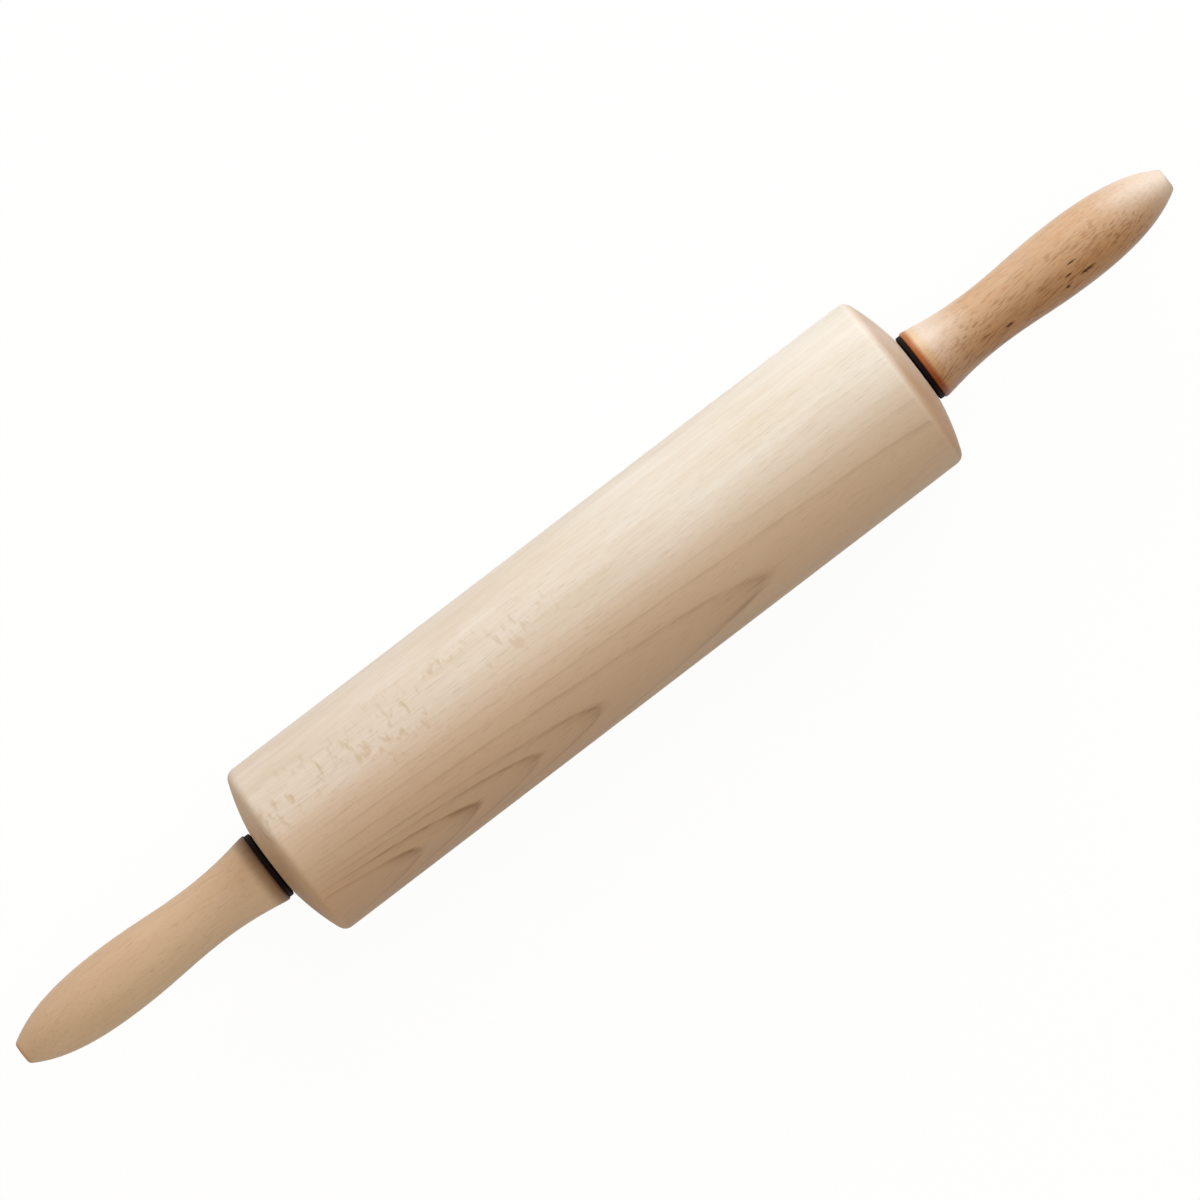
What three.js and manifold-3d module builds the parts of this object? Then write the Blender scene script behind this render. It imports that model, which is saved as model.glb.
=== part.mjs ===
// A rolling pin: a turned beech barrel runs on ball bearings, on a steel axle that joins two turned handles.
// Millimetres, +Z up. The pin lies along X with x = 0 at mid length, and a flat of the barrel rests at z = 0.
import * as THREE from "three";
import { mergeVertices } from "three/addons/utils/BufferGeometryUtils.js";
import Module from "manifold-3d";

const wasm = await Module();
wasm.setup();

// Barrel
const BARREL_LENGTH = 250;
const BARREL_DIAMETER = 61;
const BARREL_DOME_RADIUS = 78; // sphere that the barrel's ends belong to
const BARREL_EDGE_SETBACK = 2.5; // from the sharp edge to where its rounding starts
const BARREL_FACE_RIM = 1.2; // flat end face around the bearing's seat
const BARREL_SIDES = 56;

// Handles
const HANDLE_LENGTH = 95;
const HANDLE_STANDOFF = 2; // from the barrel's end face to the handle's
const HANDLE_FLARE_DIAMETER = 24.3;
const HANDLE_FLARE_ROUNDING = 0.8;
const HANDLE_WAIST_DIAMETER = 19.9;
const HANDLE_WAIST_STATION = 24; // stations are measured from the handle's inner face
const HANDLE_BELLY_DIAMETER = 22.8;
const HANDLE_BELLY_STATION = 58;
const HANDLE_TIP_DIAMETER = 8.8;
const HANDLE_TIP_ROUNDING = 1.2;
const HANDLE_TIP_SLOPE = 0.58; // radius lost for each millimetre, where the tip's rounding starts
const HANDLE_SIDES = 36;

// Lengths over which each curve of the handle leaves or meets its level, along the axis
const FLARE_LEAD = 2.2;
const WAIST_LEAD = 13;
const BELLY_LEAD = 15;
const TIP_LEAD = 9;

// Axle
const AXLE_DIAMETER = 8;
const AXLE_GRIP_LENGTH = 50; // inside each handle
const AXLE_CHAMFER = 0.8;
const AXLE_SIDES = 20;
const GLUE_GROOVES = 3; // at each end
const GLUE_GROOVE_PITCH = 12;
const GLUE_GROOVE_DEPTH = 0.6;
const DRILL_POINT_ANGLE = THREE.MathUtils.degToRad(118);

// Bearings
const BEARING_OUTER_DIAMETER = 22;
const BEARING_WIDTH = 7;
const BEARING_RECESS = 0.5; // below the barrel's end face
const BEARING_SIDES = 30;
const RING_CHAMFER = 0.4;
const BALL_DIAMETER = 3.969;
const BALL_COUNT = 7;
const BALL_DETAIL = 1;
const RACE_DEPTH = 0.9; // below the ring's shoulder
const SHIELD_THICKNESS = 0.4;
const SHIELD_RECESS = 0.3; // below the ring's face
const SHIELD_LAP = 0.65; // beyond the outer ring's shoulder
const CAGE_BACK = 0.55; // behind the balls
const CAGE_CLAW_LENGTH = 0.9; // past the middle of the balls, so that each pocket snaps over its ball

// Thrust collars
const COLLAR_DIAMETER = 23.4;
const COLLAR_CHAMFER = 0.6; // on the edge towards the barrel
const COLLAR_BOSS_STEP = 0.3; // boss below the inner ring's shoulder

// Straight steps that stand for each curve
const ROUNDING_STEPS = 3;
const FLARE_STEPS = 4;
const NECK_STEPS = 5;
const BELLY_STEPS = 7;
const TIP_STEPS = 2;
const RACE_STEPS = 5;

// Colours
const BARREL_BEECH = 0xdcc4a3;
const LEFT_HANDLE_BEECH = 0xc3a27e;
const RIGHT_HANDLE_BEECH = 0xc99f73;
const BLACK_PLASTIC = 0x1d1a18;
const POLISHED_STEEL = 0xb4b7ba;
const PRESSED_STEEL = 0x9a9da0;
const NATURAL_NYLON = 0xd6cfba;

// Clearances
const SEAT_GAP = 0.1; // pieces pressed, glued or resting together
const RUN_GAP = 0.4; // pieces that pass each other
const BALL_GAP = 0.1;
const POCKET_GAP = 0.2;
const AXLE_ROOM = 2; // around the axle inside the barrel
const RELIEF_DEPTH = 1; // behind the bearing, clear of its inner ring
const GLUE_ROOM = 1; // between the axle's end and the bottom of the handle's hole

// Sizes that follow
const BARREL_RADIUS = BARREL_DIAMETER / 2;
const AXIS_HEIGHT = BARREL_RADIUS * Math.cos(Math.PI / BARREL_SIDES);
const AXLE_RADIUS = AXLE_DIAMETER / 2;
const AXLE_LENGTH = BARREL_LENGTH + 2 * (HANDLE_STANDOFF + AXLE_GRIP_LENGTH);
const AXLE_HOLE_RADIUS = AXLE_RADIUS + SEAT_GAP;
const BEARING_RADIUS = BEARING_OUTER_DIAMETER / 2;
const BALL_RADIUS = BALL_DIAMETER / 2;
const PITCH_RADIUS = (AXLE_HOLE_RADIUS + BEARING_RADIUS) / 2;
const RACE_RADIUS = BALL_RADIUS + BALL_GAP;
const INNER_SHOULDER = PITCH_RADIUS - RACE_RADIUS + RACE_DEPTH;
const OUTER_SHOULDER = PITCH_RADIUS + RACE_RADIUS - RACE_DEPTH;
const SHIELD_RADIUS = OUTER_SHOULDER + SHIELD_LAP;
const SHIELD_SEAT_RADIUS = SHIELD_RADIUS + SEAT_GAP;
const SHIELD_OUTSIDE = BEARING_WIDTH / 2 - SHIELD_RECESS;
const SHIELD_INSIDE = SHIELD_OUTSIDE - SHIELD_THICKNESS;
const SEAT_RADIUS = BEARING_RADIUS + SEAT_GAP;
const SEAT_DEPTH = BEARING_RECESS + BEARING_WIDTH + SEAT_GAP;

// A profile point at a station along the axis and a radius from it.
function at(station, radius) {
  return new THREE.Vector2(radius, station);
}

// A turned solid about X from a profile that runs towards +X on its outside, with one flat facing down.
function turned(profile, sides) {
  const halfFlat = Math.PI / sides;
  return new THREE.LatheGeometry(profile, sides, halfFlat).rotateZ(-Math.PI / 2);
}

function turnedRing(profile, sides) {
  return turned([...profile, profile[0]], sides);
}

// The same profile for the other end, in running order.
function mirrored(profile) {
  return profile.map((point) => at(-point.y, point.x)).reverse();
}

// Points along a curve, without its first point.
function along(curve, steps) {
  return curve.getPoints(steps).slice(1);
}

function bend(start, corner, end, steps) {
  return along(new THREE.QuadraticBezierCurve(start, corner, end), steps);
}

// A curve between two profile points that leaves and meets them along the axis, or with a slope at its end.
function sweep(start, lead, end, trail, endSlope, steps) {
  const leaving = at(start.y + lead, start.x);
  const meeting = at(end.y - trail, end.x + trail * endSlope);
  return along(new THREE.CubicBezierCurve(start, leaving, meeting, end), steps);
}

function solidOf(geometry) {
  geometry.deleteAttribute("normal");
  geometry.deleteAttribute("uv");
  const merged = mergeVertices(geometry);
  const vertProperties = new Float32Array(merged.attributes.position.array);
  const triVerts = new Uint32Array(merged.index.array);
  return new wasm.Manifold(new wasm.Mesh({ numProp: 3, vertProperties, triVerts }));
}

function geometryOf(solid) {
  const mesh = solid.getMesh();
  const geometry = new THREE.BufferGeometry();
  geometry.setAttribute("position", new THREE.BufferAttribute(mesh.vertProperties, 3));
  geometry.setIndex(new THREE.BufferAttribute(mesh.triVerts, 1));
  geometry.computeVertexNormals();
  return geometry;
}

function piece(name, geometry, color, roughness, metalness) {
  const material = new THREE.MeshStandardMaterial({ color, roughness, metalness });
  const mesh = new THREE.Mesh(geometry, material);
  mesh.name = name;
  return mesh;
}

const steel = (name, geometry) => piece(name, geometry, POLISHED_STEEL, 0.25, 1);

// Barrel: domed ends with rounded edges, and a stepped hole for the axle and the two bearings
function domeStation(radius) {
  const faceRadius = SEAT_RADIUS + BARREL_FACE_RIM;
  const faceHeight = Math.sqrt(BARREL_DOME_RADIUS ** 2 - faceRadius ** 2);
  const height = Math.sqrt(BARREL_DOME_RADIUS ** 2 - radius ** 2);
  return BARREL_LENGTH / 2 - faceHeight + height;
}

function barrelHalfProfile() {
  const end = BARREL_LENGTH / 2;
  const edge = at(domeStation(BARREL_RADIUS), BARREL_RADIUS);
  const roundingStart = at(edge.y - BARREL_EDGE_SETBACK, BARREL_RADIUS);
  const outerDome = BARREL_RADIUS - BARREL_EDGE_SETBACK;
  const innerDome = SEAT_RADIUS + BARREL_FACE_RIM;
  const middleDome = (outerDome + innerDome) / 2;
  const roundingEnd = at(domeStation(outerDome), outerDome);
  const boreRadius = AXLE_RADIUS + AXLE_ROOM;
  const seatFloor = end - SEAT_DEPTH;
  const reliefFloor = seatFloor - RELIEF_DEPTH;
  return [
    roundingStart,
    ...bend(roundingStart, edge, roundingEnd, ROUNDING_STEPS),
    at(domeStation(middleDome), middleDome),
    at(end, innerDome),
    at(end, SEAT_RADIUS),
    at(seatFloor, SEAT_RADIUS),
    at(seatFloor, SHIELD_SEAT_RADIUS),
    at(reliefFloor, SHIELD_SEAT_RADIUS),
    at(reliefFloor, boreRadius),
  ];
}

function barrel() {
  const half = barrelHalfProfile();
  const geometry = turnedRing([...mirrored(half), ...half], BARREL_SIDES);
  return piece("barrel", geometry, BARREL_BEECH, 0.6, 0);
}

// Axle: a steel rod with chamfered ends and grooves that hold the glue
function axle() {
  const end = AXLE_LENGTH / 2;
  const half = [];
  for (let groove = GLUE_GROOVES; groove > 0; groove--) {
    const middle = end - groove * GLUE_GROOVE_PITCH;
    half.push(at(middle - GLUE_GROOVE_DEPTH, AXLE_RADIUS));
    half.push(at(middle, AXLE_RADIUS - GLUE_GROOVE_DEPTH));
    half.push(at(middle + GLUE_GROOVE_DEPTH, AXLE_RADIUS));
  }
  half.push(at(end - AXLE_CHAMFER, AXLE_RADIUS));
  half.push(at(end, AXLE_RADIUS - AXLE_CHAMFER));
  half.push(at(end, 0));
  return steel("axle", turned([...mirrored(half), ...half], AXLE_SIDES));
}

// Handle: flare, waist, belly and flat tip outside, and a blind drilled hole for the axle
function handleHole() {
  const depth = AXLE_GRIP_LENGTH + GLUE_ROOM;
  const pointLength = AXLE_HOLE_RADIUS / Math.tan(DRILL_POINT_ANGLE / 2);
  return [at(depth + pointLength, 0), at(depth, AXLE_HOLE_RADIUS), at(0, AXLE_HOLE_RADIUS)];
}

function handleOutside() {
  const flareRadius = HANDLE_FLARE_DIAMETER / 2;
  const tipRadius = HANDLE_TIP_DIAMETER / 2;
  const faceEdge = at(0, flareRadius - HANDLE_FLARE_ROUNDING);
  const flare = at(HANDLE_FLARE_ROUNDING, flareRadius);
  const waist = at(HANDLE_WAIST_STATION, HANDLE_WAIST_DIAMETER / 2);
  const belly = at(HANDLE_BELLY_STATION, HANDLE_BELLY_DIAMETER / 2);
  const tip = at(HANDLE_LENGTH - HANDLE_TIP_ROUNDING, tipRadius);
  const tipCorner = at(HANDLE_LENGTH, tipRadius - HANDLE_TIP_ROUNDING * HANDLE_TIP_SLOPE);
  const tipFlat = at(HANDLE_LENGTH, tipRadius - HANDLE_TIP_ROUNDING);
  return [
    faceEdge,
    ...bend(faceEdge, at(0, flareRadius), flare, ROUNDING_STEPS),
    ...sweep(flare, FLARE_LEAD, waist, WAIST_LEAD, 0, FLARE_STEPS),
    ...sweep(waist, WAIST_LEAD, belly, BELLY_LEAD, 0, NECK_STEPS),
    ...sweep(belly, BELLY_LEAD, tip, TIP_LEAD, HANDLE_TIP_SLOPE, BELLY_STEPS),
    ...bend(tip, tipCorner, tipFlat, TIP_STEPS),
    at(HANDLE_LENGTH, 0),
  ];
}

function handle(side, color) {
  const geometry = turned([...handleHole(), ...handleOutside()], HANDLE_SIDES);
  const mesh = piece(`handle_${side}`, geometry, color, 0.4, 0);
  mesh.position.x = HANDLE_STANDOFF;
  return mesh;
}

// Thrust collar: a flange against the handle and a boss against the bearing's inner ring
function thrustCollar(side) {
  const bossStart = SEAT_GAP - BEARING_RECESS;
  const bossRadius = INNER_SHOULDER - COLLAR_BOSS_STEP;
  const flangeEnd = HANDLE_STANDOFF - SEAT_GAP;
  const flangeRadius = COLLAR_DIAMETER / 2;
  const profile = [
    at(bossStart, AXLE_HOLE_RADIUS),
    at(bossStart, bossRadius),
    at(RUN_GAP, bossRadius),
    at(RUN_GAP, flangeRadius - COLLAR_CHAMFER),
    at(RUN_GAP + COLLAR_CHAMFER, flangeRadius),
    at(flangeEnd, flangeRadius),
    at(flangeEnd, AXLE_HOLE_RADIUS),
  ];
  return piece(`thrust_collar_${side}`, turnedRing(profile, BEARING_SIDES), BLACK_PLASTIC, 0.5, 0);
}

// Bearing rings: deep grooves around the balls, with the shields' seats in the outer ring
function race(towards) {
  const reach = Math.acos(1 - RACE_DEPTH / RACE_RADIUS);
  const points = [];
  for (let step = 0; step <= RACE_STEPS; step++) {
    const angle = reach * (2 * step / RACE_STEPS - 1);
    points.push(at(RACE_RADIUS * Math.sin(angle), PITCH_RADIUS + towards * RACE_RADIUS * Math.cos(angle)));
  }
  return points;
}

function innerRing(side) {
  const face = BEARING_WIDTH / 2;
  const profile = [
    at(-face, INNER_SHOULDER),
    ...race(-1),
    at(face, INNER_SHOULDER),
    at(face, AXLE_HOLE_RADIUS),
    at(-face, AXLE_HOLE_RADIUS),
  ];
  return steel(`bearing_inner_ring_${side}`, turnedRing(profile, BEARING_SIDES));
}

function outerRing(side) {
  const face = BEARING_WIDTH / 2;
  const shieldSeat = [
    at(face, SHIELD_SEAT_RADIUS),
    at(SHIELD_INSIDE - SEAT_GAP, SHIELD_SEAT_RADIUS),
    at(SHIELD_INSIDE - SEAT_GAP, OUTER_SHOULDER),
  ];
  const profile = [
    at(-face, BEARING_RADIUS - RING_CHAMFER),
    at(RING_CHAMFER - face, BEARING_RADIUS),
    at(face - RING_CHAMFER, BEARING_RADIUS),
    at(face, BEARING_RADIUS - RING_CHAMFER),
    ...shieldSeat,
    ...race(1).reverse(),
    ...mirrored(shieldSeat),
  ];
  return steel(`bearing_outer_ring_${side}`, turnedRing(profile, BEARING_SIDES));
}

function shield(name, direction) {
  const holeRadius = INNER_SHOULDER + RUN_GAP;
  const profile = [
    at(SHIELD_INSIDE, SHIELD_RADIUS),
    at(SHIELD_OUTSIDE, SHIELD_RADIUS),
    at(SHIELD_OUTSIDE, holeRadius),
    at(SHIELD_INSIDE, holeRadius),
  ];
  const facing = direction > 0 ? profile : mirrored(profile);
  return piece(name, turnedRing(facing, BEARING_SIDES), PRESSED_STEEL, 0.35, 1);
}

// Balls and the crown cage that keeps them apart
function ballCentre(index) {
  const angle = index / BALL_COUNT * 2 * Math.PI;
  return new THREE.Vector3(0, PITCH_RADIUS * Math.cos(angle), PITCH_RADIUS * Math.sin(angle));
}

function ball(side, index) {
  const geometry = new THREE.IcosahedronGeometry(BALL_RADIUS, BALL_DETAIL);
  const mesh = steel(`bearing_ball_${side}_${index + 1}`, geometry);
  mesh.position.copy(ballCentre(index));
  return mesh;
}

function cage(side) {
  const pocketRadius = BALL_RADIUS + POCKET_GAP;
  const back = -pocketRadius - CAGE_BACK + POCKET_GAP;
  const inside = INNER_SHOULDER + RUN_GAP;
  const outside = OUTER_SHOULDER - RUN_GAP;
  const profile = [
    at(back, outside),
    at(CAGE_CLAW_LENGTH, outside),
    at(CAGE_CLAW_LENGTH, inside),
    at(back, inside),
  ];
  let solid = solidOf(turnedRing(profile, BEARING_SIDES));
  for (let index = 0; index < BALL_COUNT; index++) {
    const { x, y, z } = ballCentre(index);
    const pocket = new THREE.IcosahedronGeometry(pocketRadius, BALL_DETAIL).translate(x, y, z);
    solid = solid.subtract(solidOf(pocket));
  }
  return piece(`bearing_cage_${side}`, geometryOf(solid), NATURAL_NYLON, 0.55, 0);
}

function bearing(side) {
  const group = new THREE.Group();
  group.add(outerRing(side), innerRing(side), cage(side));
  group.add(shield(`bearing_shield_outer_${side}`, 1), shield(`bearing_shield_inner_${side}`, -1));
  for (let index = 0; index < BALL_COUNT; index++) {
    group.add(ball(side, index));
  }
  group.position.x = -BEARING_RECESS - BEARING_WIDTH / 2;
  return group;
}

// One end of the pin, with x = 0 on the barrel's end face and +x towards the handle's tip
function pinEnd(side, handleColor) {
  const group = new THREE.Group();
  group.add(bearing(side), thrustCollar(side), handle(side, handleColor));
  return group;
}

function rollingPin() {
  const pin = new THREE.Group();
  const right = pinEnd("right", RIGHT_HANDLE_BEECH);
  const left = pinEnd("left", LEFT_HANDLE_BEECH);
  right.position.x = BARREL_LENGTH / 2;
  left.position.x = -BARREL_LENGTH / 2;
  left.rotation.z = Math.PI;
  pin.add(barrel(), axle(), left, right);
  pin.position.z = AXIS_HEIGHT;
  return pin;
}

const group = rollingPin();

export default group;
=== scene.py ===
"""A rolling pin seen from above: a pale beech barrel on ball bearings between two lacquered beech handles.

Metres, in the frame's own axes: the pin lies along X and rests on z = 0.
"""
import math
from dataclasses import dataclass

import bmesh
import bpy
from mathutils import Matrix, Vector


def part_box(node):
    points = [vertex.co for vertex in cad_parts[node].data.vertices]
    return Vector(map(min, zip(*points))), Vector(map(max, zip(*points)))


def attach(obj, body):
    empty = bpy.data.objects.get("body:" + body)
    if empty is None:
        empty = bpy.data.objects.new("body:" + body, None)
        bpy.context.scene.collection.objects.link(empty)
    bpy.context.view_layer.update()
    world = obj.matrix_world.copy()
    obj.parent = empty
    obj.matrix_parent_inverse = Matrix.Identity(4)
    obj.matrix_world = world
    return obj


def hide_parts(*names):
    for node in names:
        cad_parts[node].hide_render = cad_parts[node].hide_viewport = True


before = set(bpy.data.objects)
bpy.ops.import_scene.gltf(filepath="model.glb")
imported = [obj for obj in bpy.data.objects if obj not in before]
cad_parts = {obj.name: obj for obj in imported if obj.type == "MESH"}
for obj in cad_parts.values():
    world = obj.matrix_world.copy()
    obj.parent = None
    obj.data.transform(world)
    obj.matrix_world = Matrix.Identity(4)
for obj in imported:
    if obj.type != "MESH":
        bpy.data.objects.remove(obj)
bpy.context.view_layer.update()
MM = 0.001

# Sizes read from the frame
BARREL_LOW, BARREL_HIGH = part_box("barrel")
HANDLE_LOW, HANDLE_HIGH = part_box("handle_right")
COLLAR_LOW, COLLAR_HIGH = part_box("thrust_collar_right")
AXIS_Z = (BARREL_LOW.z + BARREL_HIGH.z) / 2
BARREL_END = BARREL_HIGH.x
HANDLE_START = HANDLE_LOW.x
HANDLE_LENGTH = HANDLE_HIGH.x - HANDLE_LOW.x

# Barrel's turned outside, as in the solids
BARREL_RADIUS = 30.5 * MM
DOME_RADIUS = 78 * MM
EDGE_SETBACK = 2.5 * MM
FACE_RADIUS = 12.3 * MM
SEAT_RADIUS = 11.1 * MM
SEAT_DEPTH = 7.6 * MM
RELIEF_RADIUS = 9.5 * MM
RELIEF_DEPTH = 1 * MM
BORE_RADIUS = 6 * MM
HOLE_CHAMFER = 0.3 * MM

# Handle's turned outside, with stations from its inner face
FLARE_RADIUS = 12.15 * MM
FLARE_ROUNDING = 0.8 * MM
WAIST_RADIUS = 9.95 * MM
WAIST_STATION = 24 * MM
BELLY_RADIUS = 11.4 * MM
BELLY_STATION = 58 * MM
TIP_RADIUS = 4.4 * MM
TIP_ROUNDING = 1.2 * MM
TIP_SLOPE = 0.58
FLARE_LEAD = 2.2 * MM
WAIST_LEAD = 13 * MM
BELLY_LEAD = 15 * MM
TIP_LEAD = 9 * MM
HANDLE_HOLE_RADIUS = 4.1 * MM
HANDLE_HOLE_DEPTH = 51 * MM
DRILL_POINT = 2.46 * MM

# Thrust collar between them
COLLAR_RADIUS = 11.7 * MM
COLLAR_ROUNDING = 0.6 * MM
COLLAR_BOSS_RADIUS = 6.06 * MM
COLLAR_HOLE_RADIUS = 4.1 * MM
COLLAR_CLEARANCE = 0.4 * MM  # from the barrel's end face

# How finely the pieces are turned: segments round the axis and steps along each curve
BARREL_SEGMENTS = 192
HANDLE_SEGMENTS = 128
COLLAR_SEGMENTS = 128
BARREL_EDGE_STEPS = 12
DOME_STEPS = 16
FLARE_EDGE_STEPS = 14
WAIST_STEPS = 22
BELLY_STEPS = 26
TIP_STEPS = 34
TIP_EDGE_STEPS = 8
COLLAR_EDGE_STEPS = 6
SHARP_ANGLE = math.radians(35)

# Photograph's frame in pixels: the pin's tilt, its scale at the axis and where its middle lies
IMAGE_SIDE = 1200
PIN_TILT = math.radians(37.4)
PIXELS_PER_METRE = 3244
PIN_MIDDLE = (594.6, 616.4)
CAMERA_DISTANCE = 3.2
CAMERA_REACH = 100
SENSOR = 36


# Turned meshes
def curve_points(controls, steps):
    """Points along a Bezier curve of any degree, without its first point."""
    points = []
    for step in range(1, steps + 1):
        t = step / steps
        level = [Vector(c) for c in controls]
        while len(level) > 1:
            level = [a.lerp(b, t) for a, b in zip(level, level[1:])]
        points.append(tuple(level[0]))
    return points


def sweep(start, lead, end, trail, slope, steps):
    """A curve that leaves start along the axis and meets end with a slope."""
    leaving = (start[0] + lead, start[1])
    meeting = (end[0] - trail, end[1] + trail * slope)
    return curve_points([start, leaving, meeting, end], steps)


def mirrored(profile):
    return [(-x, r) for x, r in reversed(profile)]


def turned(name, profile, segments, closed=False):
    """A mesh turned about the pin's axis from (x, radius) points that run towards +X on the outside."""
    mesh = bpy.data.meshes.new(name)
    bm = bmesh.new()
    rings = []
    for x, r in profile:
        if r == 0:
            rings.append([bm.verts.new((x, 0, AXIS_Z))])
            continue
        angles = [2 * math.pi * i / segments for i in range(segments)]
        rings.append([bm.verts.new((x, r * math.cos(a), AXIS_Z + r * math.sin(a))) for a in angles])
    pairs = list(zip(rings, rings[1:]))
    if closed:
        pairs.append((rings[-1], rings[0]))
    for near, far in pairs:
        for i in range(segments):
            j = (i + 1) % segments
            if len(near) == 1:
                bm.faces.new((near[0], far[i], far[j]))
            elif len(far) == 1:
                bm.faces.new((near[i], far[0], near[j]))
            else:
                bm.faces.new((near[i], far[i], far[j], near[j]))
    bmesh.ops.recalc_face_normals(bm, faces=bm.faces)
    bm.to_mesh(mesh)
    bm.free()
    mesh.shade_smooth()
    mesh.set_sharp_from_angle(angle=SHARP_ANGLE)
    obj = bpy.data.objects.new(name, mesh)
    bpy.context.scene.collection.objects.link(obj)
    return obj


def stand_for(obj, node, body, material):
    obj.data.materials.append(material)
    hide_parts(node)
    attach(obj, body)


# Node trees
def colour(value):
    """A hex colour as linear RGBA; anything else as it is."""
    if not isinstance(value, str):
        return value
    channels = [int(value[i:i + 2], 16) / 255 for i in (0, 2, 4)]
    linear = [c / 12.92 if c <= 0.04045 else ((c + 0.055) / 1.055) ** 2.4 for c in channels]
    return (*linear, 1)


class Tree:
    """A material's node tree, with a short call for each kind of node."""

    def __init__(self, name):
        self.material = bpy.data.materials.new(name)
        self.material.use_nodes = True
        self.nodes = self.material.node_tree.nodes
        self.links = self.material.node_tree.links
        self.shader = self.nodes["Principled BSDF"]

    def put(self, socket, value):
        if isinstance(value, bpy.types.NodeSocket):
            self.links.new(value, socket)
        elif value is not None:
            socket.default_value = value

    def node(self, kind, inputs=(), **settings):
        made = self.nodes.new(kind)
        for key, value in settings.items():
            setattr(made, key, value)
        for key, value in dict(inputs).items():
            self.put(made.inputs[key], value)
        return made

    def place(self):
        return self.node("ShaderNodeTexCoord").outputs["Object"]

    def math(self, operation, a, b=None, c=None, clamp=False):
        made = self.node("ShaderNodeMath", operation=operation, use_clamp=clamp)
        for socket, value in zip(made.inputs, (a, b, c)):
            self.put(socket, value)
        return made.outputs[0]

    def product(self, first, *factors):
        for factor in factors:
            first = self.math("MULTIPLY", first, factor)
        return first

    def vector(self, operation, a, b=None):
        made = self.node("ShaderNodeVectorMath", operation=operation)
        self.put(made.inputs[0], a)
        self.put(made.inputs[1], b)
        return made.outputs["Value" if operation in ("DOT_PRODUCT", "LENGTH") else "Vector"]

    def combined(self, **parts):
        return self.node("ShaderNodeCombineXYZ", parts).outputs["Vector"]

    def noise(self, vector, scale=1.0, detail=2.0, roughness=0.5, distortion=0.0):
        inputs = {"Vector": vector, "Scale": scale, "Detail": detail, "Roughness": roughness,
                  "Distortion": distortion}
        return self.node("ShaderNodeTexNoise", inputs).outputs["Fac"]

    def swing(self, noise):
        """A noise moved down to lie about zero."""
        return self.math("SUBTRACT", noise, NOISE_MIDDLE)

    def span(self, value, low, high, to_low=0.0, to_high=1.0):
        """A smooth step from to_low, where the value is low, to to_high, where it is high."""
        inputs = {"Value": value, "From Min": low, "From Max": high, "To Min": to_low, "To Max": to_high}
        return self.node("ShaderNodeMapRange", inputs, interpolation_type="SMOOTHSTEP").outputs["Result"]

    def ramp(self, value, stops):
        made = self.node("ShaderNodeValToRGB", {"Fac": value})
        elements = made.color_ramp.elements
        while len(elements) < len(stops):
            elements.new(1.0)
        for element, (position, level) in zip(elements, stops):
            element.position = position
            element.color = (level, level, level, 1)
        return made.outputs["Color"]

    def mix(self, factor, a, b, blend="MIX"):
        made = self.node("ShaderNodeMix", data_type="RGBA", blend_type=blend)
        self.put(made.inputs["Factor"], factor)
        self.put(made.inputs["A"], colour(a))
        self.put(made.inputs["B"], colour(b))
        return made.outputs["Result"]

    def set(self, **inputs):
        for key, value in inputs.items():
            self.put(self.shader.inputs[key.replace("_", " ")], value)

    def bump(self, height, strength, distance):
        inputs = {"Height": height, "Strength": strength, "Distance": distance}
        self.set(Normal=self.node("ShaderNodeBump", inputs).outputs["Normal"])


NOISE_MIDDLE = 0.5
NOISE_RANGE = (0.3, 0.7)  # where most of a noise's values lie


# Beech, with lengths in millimetres and stations as distances from the pin's middle
@dataclass
class Figure:
    """A noise in the wood, with the lengths of its features along, across and outward from the pith."""
    lengths: tuple
    detail: float = 2.0
    roughness: float = 0.5
    distortion: float = 0.0


@dataclass
class Beech:
    """What sets one piece of beech apart."""
    name: str
    pale: str
    tan: str
    outer: str  # wood nearest the bark; on the left handle it lies on the lit upper side as painted shade
    line: str
    bark_turn: float  # degrees round the axis, from up towards -Y, to the side nearest the bark
    outer_from: float  # where the outer wood's colour starts and is full, from the axis towards the bark
    outer_full: float
    pith_distance: float
    slope_out: float  # of the pith to the axis
    slope_across: float
    ring_radius: float  # from the axis to where the rings turn from wide to narrow
    ring_narrow: float
    ring_wide: float
    ring_deep: float
    ring_strength: float
    dash_length: float
    dash_width: float
    dash_height: float
    dash_spread: float  # how strong the dashes are on the side away from the bark
    dash_strength: float
    dash_amount: float
    fibre_strength: float
    roughness: float
    specular: float
    end_grain: tuple  # stations where its tint starts, and where it is full on the left and on the right
    dash_slant: float = 0.0
    fleck: str = ""
    fleck_strength: float = 0.0
    left_tint: str = ""  # colour change towards the left end
    sheen: float = 0.0
    painted_sheen: tuple = ()  # stations where the painted highlight on the upper side of a handle's two ends is full, gone, gone and full again
    painted_gap_shade: tuple = ()  # painted shade on a handle's inner end, in the gap by the collar and the barrel, as (tint, where it is full, where it has faded)
    marks: tuple = ()  # dark streaks as (x, y, length, width)


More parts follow.
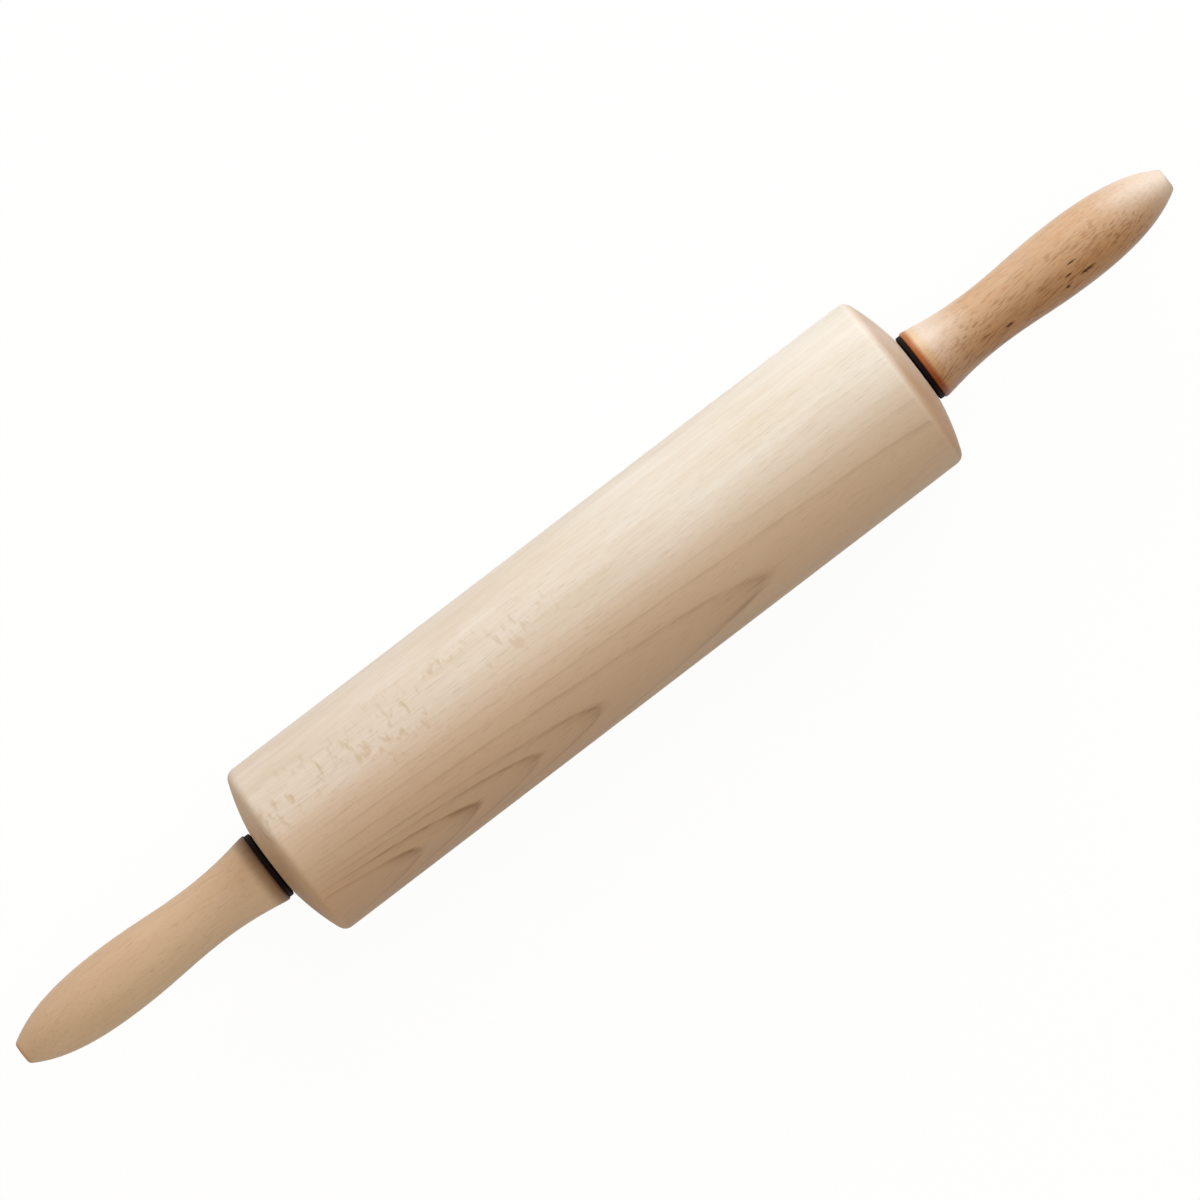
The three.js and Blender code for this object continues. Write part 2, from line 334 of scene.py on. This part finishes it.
BARREL_BEECH = Beech(
    name="barrel_beech", pale="f1e6d5", tan="e2d0b6", outer="e4c19d", line="8a5c36",
    bark_turn=49, outer_from=9, outer_full=32, pith_distance=32, slope_out=0.022, slope_across=-0.03,
    ring_radius=30.83, ring_narrow=0.54, ring_wide=1.45, ring_deep=1.7, ring_strength=0.95,
    dash_length=2.4, dash_width=0.5, dash_height=5, dash_spread=0.1, dash_strength=0.18, dash_amount=0.05,
    fibre_strength=0.13, fleck="c2a070", fleck_strength=0.5, roughness=0.6, specular=0.4, sheen=0.08,
    end_grain=(117, 124.5, 121.5), left_tint="f2ebe6")
# Browner outer wood turned to the lit upper side and the palest wood underneath: painted shade above and
# painted light below, evening out the lamps on this handle
LEFT_BEECH = Beech(
    name="handle_left_beech", pale="f5dab8", tan="e0bf98", outer="caa784", line="94683f",
    bark_turn=-80, outer_from=-8, outer_full=9, pith_distance=45, slope_out=0.015, slope_across=0.01,
    ring_radius=11.2, ring_narrow=1.6, ring_wide=1.8, ring_deep=1.8, ring_strength=0.16,
    dash_length=2.2, dash_width=0.5, dash_height=0.6, dash_slant=0.05, dash_spread=1, dash_strength=0.28,
    dash_amount=0.05, fibre_strength=0.2, fleck="c9a27a", fleck_strength=0.35, roughness=0.5, specular=0.3,
    end_grain=(220.6, 221.8, 221.8),
    # Painted shade on the inner end by the collar
    painted_gap_shade=(("a6988a", 128.2, 133.2), ("57362e", 126.6, 128.8)))
RIGHT_BEECH = Beech(
    name="handle_right_beech", pale="d8b693", tan="cd9e70", outer="be8a59", line="864d1c",
    bark_turn=60, outer_from=-6, outer_full=10, pith_distance=40, slope_out=0.03, slope_across=0.03,
    ring_radius=11.4, ring_narrow=1.3, ring_wide=1.5, ring_deep=1.5, ring_strength=0.25,
    dash_length=6.5, dash_width=0.66, dash_height=0.75, dash_slant=0.18, dash_spread=0.25, dash_strength=0.9,
    dash_amount=0.18, fibre_strength=0.3, roughness=0.36, specular=0.3,
    # A painted highlight on the upper side of the flare and tip, and painted shade on the inner end
    end_grain=(220.6, 221.8, 221.8), painted_sheen=(131, 150, 192, 222),
    painted_gap_shade=(("f8eace", 129.6, 133.6), ("c88a54", 128.2, 130.0), ("a08c88", 126.4, 127.6)),
    marks=((185.4, -7.2, 6.2, 1.0), (182.3, -2.4, 3.8, 0.7), (177.3, -7.9, 1.6, 1.0),
           (156.0, -6.3, 3.6, 0.8), (179.4, -5.1, 2.6, 0.6)))

# Plain wood's tone
CLOUD = Figure((55, 9, 9))
STREAK = Figure((30, 1.3, 1.3), roughness=0.6)
FIBRE = Figure((7, 0.5, 0.5), detail=3, roughness=0.6)
CLOUD_TONE = 1.5
STREAK_TONE = 0.8
FIBRE_TONE = 0.8
OUTER_TONE = 0.4  # how much of the tone shows in the outer wood
LEFT_TINT_ALONG = (120, -120)  # where the left end's tint starts and is full

# Growth rings: darkness through a ring as (share of the ring, darkness), and fades as (from, to, first, last)
BARK_RING = (
    (0, 0.5), (0.05, 0.86), (0.12, 0.62), (0.24, 0.29), (0.45, 0.08), (0.8, 0.0), (0.94, 0.0), (1, 0.5))
FAINT_RING = ((0, 0.2), (0.05, 0.9), (0.16, 0.35), (0.35, 0.08), (0.8, 0.0), (1, 0.05))
NARROW_RINGS = 3.6  # narrow rings under the bark
WIDE_RING_THINNING = 1.5  # how much sooner the dark band fades in the wide rings than in the narrow ones
BAND_END = 0.8  # share of a ring where the band has gone
RING_SWAY = Figure((32, 20, 20))
SWAY_DEPTH = 0.3  # how far the rings sway, and how far the fibres roughen them
FIBRE_DEPTH = 0.12
NEAR_BARK = (0.75, 0.97)  # shares of the ring radius between which the rings by the bark take over
LEAST_RING = 0.62  # strength of the faintest ring, and what chance adds to it in the others
RING_WHIM = 0.3
RING_PATCH = Figure((18, 2.5, 2.5))
RING_PATCH_FADE = (0.35, 0.6, 0.45, 1.0)
HEART_FADE = 0.45  # share of the ring radius where the lines are at their faintest
HEART_LINES = 0.08
ACROSS_FADE = (1.5, 8, 1.0, 0.5)
EDGE_FADE = (0.03, 0.3, 1.0, 0.2)
LEFT_FADE = (-118, -88, 0.4, 1.0)
LOWER_RIGHT_ALONG = (58, 82)
LOWER_RIGHT_ACROSS = (5, 1.5)
LOWER_RIGHT_LINES = 0.15

# Fine dark fibres, the dashes of cut rays and the flecks of rays that lie in the surface
THREAD = Figure((5.5, 0.42, 0.42), detail=1, roughness=0.4)
THREAD_LEVELS = (0.58, 0.72)
THREAD_FADE = (-12, 8, 0.15, 1.0)
DASH_LEVELS = (0.66, 0.84)
DASH_PATCH = Figure((17, 5, 5), detail=1)
DASH_PATCH_FADE = (0.36, 0.56, 0.5, 1.0)
FLECK = Figure((2, 2, 5), detail=1, distortion=0.3)
FLECK_LEVELS = (0.52, 0.74)
FLECK_PATCH = Figure((11, 11, 11), detail=1)
FLECK_PATCH_LEVELS = (0.38, 0.58)
FLECK_OUTWARD = (-3, 5)
FLECK_ALONG = (40, -70)

# Ends: end-grain tints away from the bark and darker painted shade by the bark, a painted highlight on a
# handle's ends, and dark marks
# Each pair is an end-grain tint and a darker tint that paints shade on the side by the bark
LEFT_END_GRAIN_AND_SHADE = ("f1dac0", "bca073")
RIGHT_END_GRAIN_AND_SHADE = ("ddcabf", "bf9c76")
END_GRAIN_SHARE = 0.9
END_FACING = (0.05, 0.6)
END_SHADE_BY_BARK = (3, 23)
END_CHANGE = (-50, 50)  # where the left end's tints give way to the right end's
# Painted highlight: a pale veil on the upper side of a handle's ends
PAINTED_SHEEN_COLOUR = "f0e2d0"
PAINTED_SHEEN_SHARE = 0.6
PAINTED_SHEEN_BARK_SHARE = 0.25  # how much of the painted highlight on the inner end is left by the bark
MARK_COLOUR = "4d2608"
MARK_SHARE = 0.9
MARK_GRAIN = 1500  # features per metre in a mark's ragged edge
MARK_RAGGEDNESS = 0.8
MARK_EDGE = (0.9, 1.6)
MARK_HEIGHT = (0, 1)  # above the axis, so that the underside has none

# Surface
DASH_RELIEF = 0.6
WOOD_BUMP = 0.15
WOOD_RELIEF = 0.12 * MM
FIBRE_RANGE = (0.2, 0.8)
SMOOTHER = 0.05  # how far the fibres take the roughness below and above its value
ROUGHER = 0.07
SHEEN_ROUGHNESS = 0.5


class Cut:
    """Where a point of a piece lies in the log that the piece was cut from."""

    def __init__(self, t, look):
        self.t = t
        coordinates = t.node("ShaderNodeTexCoord").outputs
        self.centred = t.vector("SUBTRACT", coordinates["Object"], (0, 0, AXIS_Z))
        turn = (-math.radians(look.bark_turn), 0, 0)
        mapping = {"Vector": self.centred, "Rotation": turn, "Scale": (1 / MM,) * 3}
        self.grain = t.node("ShaderNodeMapping", mapping).outputs["Vector"]
        self.along = t.vector("DOT_PRODUCT", self.grain, (1, 0, 0))
        self.across = t.vector("DOT_PRODUCT", self.grain, (-look.slope_across, 1, 0))
        self.outward = t.vector("DOT_PRODUCT", self.grain, (-look.slope_out, 0, 1))
        self.bark_side = t.span(self.outward, look.outer_from, look.outer_full)
        self.heart_side = t.math("SUBTRACT", 1.0, self.bark_side)
        normal = t.node("ShaderNodeSeparateXYZ", {"Vector": coordinates["Normal"]}).outputs
        self.facing_end = t.math("ABSOLUTE", normal["X"])

    def stretched(self, vector, lengths):
        return self.t.vector("MULTIPLY", vector, tuple(1 / length for length in lengths))

    def noise(self, figure):
        place = self.stretched(self.grain, figure.lengths)
        return self.t.noise(
            place, detail=figure.detail, roughness=figure.roughness, distortion=figure.distortion)


def ring_year(t, look, cut, fibre):
    """Rings counted outwards from the first narrow one, about a pith that slants to the piece."""
    from_pith = t.math("ADD", cut.outward, look.pith_distance)
    section = t.combined(X=cut.across, Y=from_pith)
    depth = t.math("SUBTRACT", t.vector("LENGTH", section), look.pith_distance + look.ring_radius)
    depth = t.math("MULTIPLY_ADD", t.swing(cut.noise(RING_SWAY)), SWAY_DEPTH, depth)
    depth = t.math("MULTIPLY_ADD", t.swing(fibre), FIBRE_DEPTH, depth)
    shallow = t.math("MINIMUM", t.math("MAXIMUM", depth, 0), NARROW_RINGS * look.ring_narrow)
    middle = t.math("MAXIMUM", t.math("MINIMUM", depth, 0), -look.ring_wide)
    deep = t.math("MINIMUM", t.math("ADD", depth, look.ring_wide), 0)
    year = t.math("DIVIDE", shallow, look.ring_narrow)
    year = t.math("ADD", year, t.math("DIVIDE", middle, look.ring_wide))
    return t.math("ADD", year, t.math("DIVIDE", deep, look.ring_deep))


def ring_lines(t, look, cut, year):
    """How dark a ring's line is, clear by the bark and faint elsewhere."""
    phase = t.math("FRACT", year)
    thinning = t.math("MULTIPLY_ADD", t.math("LESS_THAN", year, 0), WIDE_RING_THINNING - 1, 1.0)
    band = t.math("MINIMUM", t.math("MULTIPLY", phase, thinning), t.math("MAXIMUM", phase, BAND_END))
    near_bark = t.span(cut.outward, *(share * look.ring_radius for share in NEAR_BARK))
    line = t.mix(near_bark, t.ramp(phase, FAINT_RING), t.ramp(band, BARK_RING))
    whole_year = {"W": t.math("FLOOR", year)}
    whim = t.node("ShaderNodeTexWhiteNoise", whole_year, noise_dimensions="1D").outputs["Value"]
    lower_right = t.product(t.span(cut.along, *LOWER_RIGHT_ALONG), t.span(cut.across, *LOWER_RIGHT_ACROSS))
    return t.product(
        line,
        t.math("MULTIPLY_ADD", whim, RING_WHIM, LEAST_RING),
        t.span(cut.noise(RING_PATCH), *RING_PATCH_FADE),
        t.span(cut.outward, HEART_FADE * look.ring_radius, look.ring_radius, HEART_LINES, 1.0),
        t.span(t.math("ABSOLUTE", cut.across), *ACROSS_FADE),
        t.span(cut.facing_end, *EDGE_FADE),
        t.span(cut.along, *LEFT_FADE),
        t.span(lower_right, 0, 1, 1.0, LOWER_RIGHT_LINES))


def plain_wood(t, look, cut, fibre):
    """Pale wood that browns towards the bark, with clouds, streaks and fibres."""
    tone = t.math("MULTIPLY_ADD", t.swing(cut.noise(CLOUD)), CLOUD_TONE, NOISE_MIDDLE)
    tone = t.math("MULTIPLY_ADD", t.swing(cut.noise(STREAK)), STREAK_TONE, tone)
    tone = t.math("MULTIPLY_ADD", t.swing(fibre), FIBRE_TONE, tone, clamp=True)
    outer = t.mix(t.product(tone, OUTER_TONE), look.outer, look.tan)
    wood = t.mix(cut.bark_side, t.mix(tone, look.pale, look.tan), outer)
    if look.left_tint:
        wood = t.mix(t.span(cut.along, *LEFT_TINT_ALONG), wood, look.left_tint, blend="MULTIPLY")
    return wood


def threads(t, cut):
    """Fine dark fibres, clearest towards the bark."""
    return t.product(t.span(cut.noise(THREAD), *THREAD_LEVELS), t.span(cut.outward, *THREAD_FADE))


def ray_dashes(t, look, cut):
    """Short dashes where the rays are cut across, in patches and slanted to the axis."""
    slant = t.math("MULTIPLY", cut.along, -look.dash_slant)
    slanted = t.vector("ADD", cut.grain, t.combined(Y=slant))
    dash = t.noise(cut.stretched(slanted, (look.dash_length, look.dash_width, look.dash_height)))
    return t.product(
        t.span(dash, *(level - look.dash_amount for level in DASH_LEVELS)),
        t.span(cut.outward, look.outer_from, look.outer_full, look.dash_spread, 1.0),
        t.span(cut.noise(DASH_PATCH), *DASH_PATCH_FADE))


def ray_flecks(t, cut):
    """Flecks where the rays lie in the surface, in patches between heart and bark and towards the left."""
    return t.product(
        t.span(cut.noise(FLECK), *FLECK_LEVELS),
        cut.heart_side,
        t.span(cut.noise(FLECK_PATCH), *FLECK_PATCH_LEVELS),
        t.span(cut.outward, *FLECK_OUTWARD),
        t.span(cut.along, *FLECK_ALONG))


def streak_mark(t, centred, x, y, length, width):
    """How much of a lens-shaped dark streak on the handle's upper side covers a point."""
    offset = t.vector("SUBTRACT", centred, (x * MM, y * MM, 0))
    scaled = t.vector("MULTIPLY", offset, (2 / (length * MM), 2 / (width * MM), 0))
    ragged = t.noise(centred, scale=MARK_GRAIN, detail=1)
    uneven = t.math("MULTIPLY_ADD", ragged, MARK_RAGGEDNESS, t.vector("LENGTH", scaled))
    height = t.vector("DOT_PRODUCT", centred, (0, 0, 1 / MM))
    return t.product(t.span(uneven, *MARK_EDGE, MARK_SHARE, 0.0), t.span(height, *MARK_HEIGHT))


def tinted_ends(t, look, cut, wood):
    """End grain drinks more and looks darker, and its tints also paint shade on the side by the bark; a
    handle's ends may get a painted highlight and its inner end painted shade.
    """
    station = t.math("ABSOLUTE", cut.along)
    start, left_full, right_full = look.end_grain
    end_grain = t.math("ADD", t.span(cut.along, -start, -left_full), t.span(cut.along, start, right_full))
    end_grain = t.product(end_grain, t.span(cut.facing_end, *END_FACING), END_GRAIN_SHARE)
    # Painted shade: the second tint darkens the side of each end face by the bark
    shade_by_bark = t.span(t.vector("DOT_PRODUCT", cut.grain, (0, 0, 1)), *END_SHADE_BY_BARK)
    left_tint = t.mix(shade_by_bark, *LEFT_END_GRAIN_AND_SHADE)
    right_tint = t.mix(shade_by_bark, *RIGHT_END_GRAIN_AND_SHADE)
    end_tint = t.mix(t.span(cut.along, *END_CHANGE), left_tint, right_tint)
    wood = t.mix(end_grain, wood, end_tint, blend="MULTIPLY")
    # Painted highlight: a pale veil on the upper side of the handle's flare and tip
    if look.painted_sheen:
        sheen_side = t.product(cut.heart_side, cut.heart_side)
        inner = t.math("MULTIPLY_ADD", sheen_side, 1 - PAINTED_SHEEN_BARK_SHARE, PAINTED_SHEEN_BARK_SHARE)
        inner = t.product(inner, t.span(station, *look.painted_sheen[:2], 1.0, 0.0))
        tip = t.product(sheen_side, t.span(station, *look.painted_sheen[2:]))
        wood = t.mix(t.product(t.math("MAXIMUM", inner, tip), PAINTED_SHEEN_SHARE), wood, PAINTED_SHEEN_COLOUR)
    # Painted shade: the handle's inner end darkens towards the collar and the barrel's end
    for tint, full, clear in look.painted_gap_shade:
        wood = t.mix(t.span(station, full, clear, 1.0, 0.0), wood, tint, blend="MULTIPLY")
    return wood


def beech(look):
    """Growth rings, fibres, ray dashes and ray flecks in the solid wood, so that each follows the cut."""
    t = Tree(look.name)
    cut = Cut(t, look)
    fibre = cut.noise(FIBRE)
    lines = ring_lines(t, look, cut, ring_year(t, look, cut, fibre))
    dash = ray_dashes(t, look, cut)
    wood = plain_wood(t, look, cut, fibre)
    if look.fleck:
        wood = t.mix(t.product(ray_flecks(t, cut), look.fleck_strength), wood, look.fleck)
    wood = t.mix(t.product(threads(t, cut), look.fibre_strength), wood, look.line)
    wood = t.mix(t.product(lines, look.ring_strength), wood, look.line)
    wood = t.mix(t.product(dash, look.dash_strength), wood, look.line)
    for mark in look.marks:
        wood = t.mix(streak_mark(t, cut.centred, *mark), wood, MARK_COLOUR)
    wood = tinted_ends(t, look, cut, wood)
    roughness = t.span(fibre, *FIBRE_RANGE, look.roughness - SMOOTHER, look.roughness + ROUGHER)
    t.bump(t.math("SUBTRACT", fibre, t.product(dash, DASH_RELIEF)), WOOD_BUMP, WOOD_RELIEF)
    t.set(Base_Color=wood, Roughness=roughness, Specular_IOR_Level=look.specular)
    t.set(Sheen_Weight=look.sheen, Sheen_Roughness=SHEEN_ROUGHNESS)
    return t.material


# Plastic and steel
PLASTIC_RELIEF = 0.05 * MM
LATHE_LINES = (9000, 300, 300)  # features per metre along each axis
POLISH_PATCHES = 700  # features per metre
STEEL_BUMP = 0.08
STEEL_RELIEF = 0.02 * MM


def moulded(name, dark, light, smooth, rough, scale, detail, bump):
    """Moulded plastic with a slightly uneven colour and skin. The scale is in features per metre."""
    t = Tree(name)
    skin = t.noise(t.place(), scale=scale, detail=detail)
    t.set(Base_Color=t.mix(skin, dark, light), Roughness=t.span(skin, *NOISE_RANGE, smooth, rough))
    t.bump(skin, bump, PLASTIC_RELIEF)
    return t


def black_plastic():
    t = moulded("collar_plastic", "0a0403", "180a07", smooth=0.6, rough=0.75, scale=2600, detail=2, bump=0.2)
    t.set(Specular_IOR_Level=0.12)
    return t.material


def nylon():
    t = moulded("cage_nylon", "c9c0a8", "ded7c4", smooth=0.45, rough=0.6, scale=500, detail=3, bump=0.1)
    return t.material


def steel(name, dark, light, smooth, rough):
    """Turned steel: fine rings about the axis and a slightly uneven polish."""
    t = Tree(name)
    place = t.place()
    lines = t.noise(t.vector("MULTIPLY", place, LATHE_LINES))
    patches = t.noise(place, scale=POLISH_PATCHES)
    t.set(Base_Color=t.mix(lines, dark, light), Metallic=1.0)
    t.set(Roughness=t.span(patches, *NOISE_RANGE, smooth, rough))
    t.bump(lines, STEEL_BUMP, STEEL_RELIEF)
    return t.material


# Pieces that stand for the barrel, the handles and the collars
def dome_x(radius):
    face = math.sqrt(DOME_RADIUS ** 2 - FACE_RADIUS ** 2)
    return BARREL_END - face + math.sqrt(DOME_RADIUS ** 2 - radius ** 2)


def barrel_half():
    edge = (dome_x(BARREL_RADIUS), BARREL_RADIUS)
    rounding_start = (edge[0] - EDGE_SETBACK, BARREL_RADIUS)
    rounding_end_radius = BARREL_RADIUS - EDGE_SETBACK
    rounding_end = (dome_x(rounding_end_radius), rounding_end_radius)
    dome = []
    for step in range(1, DOME_STEPS + 1):
        radius = rounding_end_radius + (FACE_RADIUS - rounding_end_radius) * step / DOME_STEPS
        dome.append((dome_x(radius), radius))
    seat_floor = BARREL_END - SEAT_DEPTH
    relief_floor = seat_floor - RELIEF_DEPTH
    return [
        (0, BARREL_RADIUS),
        rounding_start,
        *curve_points([rounding_start, edge, rounding_end], BARREL_EDGE_STEPS),
        *dome,
        (BARREL_END, SEAT_RADIUS + HOLE_CHAMFER),
        (BARREL_END - HOLE_CHAMFER, SEAT_RADIUS),
        (seat_floor, SEAT_RADIUS),
        (seat_floor, RELIEF_RADIUS),
        (relief_floor, RELIEF_RADIUS),
        (relief_floor, BORE_RADIUS),
    ]


def make_barrel():
    half = barrel_half()
    profile = mirrored(half) + half[1:]
    obj = turned("barrel_turned", profile, BARREL_SEGMENTS, closed=True)
    stand_for(obj, "barrel", "barrel", beech(BARREL_BEECH))


def handle_profile():
    face_edge = (0, FLARE_RADIUS - FLARE_ROUNDING)
    flare = (FLARE_ROUNDING, FLARE_RADIUS)
    waist = (WAIST_STATION, WAIST_RADIUS)
    belly = (BELLY_STATION, BELLY_RADIUS)
    tip = (HANDLE_LENGTH - TIP_ROUNDING, TIP_RADIUS)
    tip_corner = (HANDLE_LENGTH, TIP_RADIUS - TIP_ROUNDING * TIP_SLOPE)
    tip_flat = (HANDLE_LENGTH, TIP_RADIUS - TIP_ROUNDING)
    stations = [
        (HANDLE_HOLE_DEPTH + DRILL_POINT, 0),
        (HANDLE_HOLE_DEPTH, HANDLE_HOLE_RADIUS),
        (0, HANDLE_HOLE_RADIUS),
        face_edge,
        *curve_points([face_edge, (0, FLARE_RADIUS), flare], FLARE_EDGE_STEPS),
        *sweep(flare, FLARE_LEAD, waist, WAIST_LEAD, 0, WAIST_STEPS),
        *sweep(waist, WAIST_LEAD, belly, BELLY_LEAD, 0, BELLY_STEPS),
        *sweep(belly, BELLY_LEAD, tip, TIP_LEAD, TIP_SLOPE, TIP_STEPS),
        *curve_points([tip, tip_corner, tip_flat], TIP_EDGE_STEPS),
        (HANDLE_LENGTH, 0),
    ]
    return [(HANDLE_START + x, r) for x, r in stations]


def make_handle(side, look):
    profile = handle_profile()
    if side == "left":
        profile = mirrored(profile)
    obj = turned(f"handle_{side}_turned", profile, HANDLE_SEGMENTS)
    stand_for(obj, f"handle_{side}", "handles", beech(look))


def make_collar(side, material):
    flange_start = BARREL_END + COLLAR_CLEARANCE
    edge_start = (flange_start, COLLAR_RADIUS - COLLAR_ROUNDING)
    edge_end = (flange_start + COLLAR_ROUNDING, COLLAR_RADIUS)
    profile = [
        (COLLAR_LOW.x, COLLAR_HOLE_RADIUS),
        (COLLAR_LOW.x, COLLAR_BOSS_RADIUS),
        (flange_start, COLLAR_BOSS_RADIUS),
        edge_start,
        *curve_points([edge_start, (flange_start, COLLAR_RADIUS), edge_end], COLLAR_EDGE_STEPS),
        (COLLAR_HIGH.x, COLLAR_RADIUS),
        (COLLAR_HIGH.x, COLLAR_HOLE_RADIUS),
    ]
    if side == "left":
        profile = mirrored(profile)
    obj = turned(f"thrust_collar_{side}_turned", profile, COLLAR_SEGMENTS, closed=True)
    stand_for(obj, f"thrust_collar_{side}", "handles", material)


def paint(prefix, material):
    """Gives a material to the hidden pieces that keep their solids."""
    for name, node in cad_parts.items():
        if name.startswith(prefix):
            node.data.materials.clear()
            node.data.materials.append(material)


# Stage
WHITE = (1, 1, 1, 1)
FLOOR_SIZE = 12
FLOOR_COLOUR = (0.48, 0.45, 0.41, 1)
FLOOR_ROUGHNESS = 0.9
FLOOR_GLOW = 1.09
FLOOR_GLOW_SHARE = 0.87  # the rest of what is seen is the lit floor with its shadow
WORLD_COLOUR = (1.0, 0.93, 0.85, 1)
WORLD_STRENGTH = 0.33


@dataclass
class Lamp:
    """A soft rectangular lamp, with its power in watts."""
    name: str
    place: tuple
    size: tuple
    power: float
    tint: tuple
    aim: tuple = (0, 0, 0.03)


LAMPS = (
    Lamp("key", (1.59, 1.31, 1.06), size=(3.0, 1.8), power=34, tint=(0.94, 1, 1.08)),
    Lamp("window", (1.1, 2.07, 0.67), size=(1.6, 1.3), power=23, tint=(0.9, 1, 1.17)),
    Lamp("top", (0, 0, 2.5), size=(2.0, 2.0), power=15, tint=(1, 0.97, 0.92)),
    Lamp("fill", (-1.0, -1.3, 1.0), size=(1.4, 1.0), power=1.2, tint=(1, 0.76, 0.52), aim=(-0.1, 0, 0.03)),
    Lamp("left_fill", (-1.9, 0.1, 0.8), size=(1.2, 1.2), power=4, tint=(1, 0.92, 0.82)),
)


def make_floor():
    """A pale floor that looks white and keeps a soft shadow, but lights the pin only as a pale floor does."""
    bpy.ops.mesh.primitive_plane_add(size=FLOOR_SIZE)
    floor = bpy.context.object
    floor.name = "floor"
    t = Tree("floor")
    t.set(Base_Color=FLOOR_COLOUR, Roughness=FLOOR_ROUGHNESS)
    path = t.node("ShaderNodeLightPath").outputs
    seen = t.math("MAXIMUM", path["Is Camera Ray"], path["Is Glossy Ray"])
    seen = t.math("MAXIMUM", seen, path["Is Transmission Ray"])
    share = t.math("MULTIPLY", seen, FLOOR_GLOW_SHARE)
    glow = t.node("ShaderNodeEmission", {"Color": WHITE, "Strength": FLOOR_GLOW}).outputs["Emission"]
    mixed = t.node("ShaderNodeMixShader", {0: share, 1: t.shader.outputs["BSDF"], 2: glow})
    t.put(t.nodes["Material Output"].inputs["Surface"], mixed.outputs["Shader"])
    floor.data.materials.append(t.material)


def make_world():
    world = bpy.data.worlds.new("studio")
    bpy.context.scene.world = world
    world.use_nodes = True
    nodes, links = world.node_tree.nodes, world.node_tree.links
    fill = nodes["Background"]
    fill.inputs["Color"].default_value = WORLD_COLOUR
    fill.inputs["Strength"].default_value = WORLD_STRENGTH
    white = nodes.new("ShaderNodeBackground")
    white.inputs["Color"].default_value = WHITE
    white.inputs["Strength"].default_value = 1.0
    path = nodes.new("ShaderNodeLightPath")
    mixed = nodes.new("ShaderNodeMixShader")
    links.new(path.outputs["Is Camera Ray"], mixed.inputs["Fac"])
    links.new(fill.outputs["Background"], mixed.inputs[1])
    links.new(white.outputs["Background"], mixed.inputs[2])
    links.new(mixed.outputs["Shader"], nodes["World Output"].inputs["Surface"])


def make_light(lamp):
    light = bpy.data.lights.new(lamp.name, "AREA")
    light.shape = "RECTANGLE"
    light.size, light.size_y = lamp.size
    light.energy = lamp.power
    light.color = lamp.tint
    obj = bpy.data.objects.new(lamp.name, light)
    obj.location = lamp.place
    obj.rotation_euler = (Vector(lamp.aim) - Vector(lamp.place)).to_track_quat("-Z", "Y").to_euler()
    bpy.context.scene.collection.objects.link(obj)


def make_camera():
    """A camera straight above the pin, turned and moved so that the pin lies as in the photograph."""
    camera = bpy.data.cameras.new("camera")
    camera.sensor_width = SENSOR
    camera.lens = PIXELS_PER_METRE * CAMERA_DISTANCE / IMAGE_SIDE * SENSOR
    camera.clip_end = CAMERA_REACH
    right = Vector((math.cos(PIN_TILT), -math.sin(PIN_TILT), 0))
    up = Vector((math.sin(PIN_TILT), math.cos(PIN_TILT), 0))
    move_right = (IMAGE_SIDE / 2 - PIN_MIDDLE[0]) / PIXELS_PER_METRE
    move_up = (PIN_MIDDLE[1] - IMAGE_SIDE / 2) / PIXELS_PER_METRE
    obj = bpy.data.objects.new("camera", camera)
    obj.location = right * move_right + up * move_up + Vector((0, 0, AXIS_Z + CAMERA_DISTANCE))
    obj.rotation_euler = (0, 0, -PIN_TILT)
    bpy.context.scene.collection.objects.link(obj)
    bpy.context.scene.camera = obj


make_barrel()
make_handle("left", LEFT_BEECH)
make_handle("right", RIGHT_BEECH)
plastic = black_plastic()
for end in ("left", "right"):
    make_collar(end, plastic)

# Hidden pieces
paint("axle", steel("axle_steel", "8f9296", "b9bcc0", smooth=0.28, rough=0.4))
bearing_steel = steel("bearing_steel", "9a9da1", "c2c5c8", smooth=0.2, rough=0.32)
paint("bearing_outer", bearing_steel)
paint("bearing_inner", bearing_steel)
paint("bearing_ball", steel("ball_steel", "b5b8bb", "cfd2d4", smooth=0.06, rough=0.14))
paint("bearing_shield", steel("shield_steel", "84878a", "a5a8ab", smooth=0.3, rough=0.42))
paint("bearing_cage", nylon())

make_floor()
make_world()
for lamp in LAMPS:
    make_light(lamp)
make_camera()
bpy.context.scene.view_settings.view_transform = "Standard"
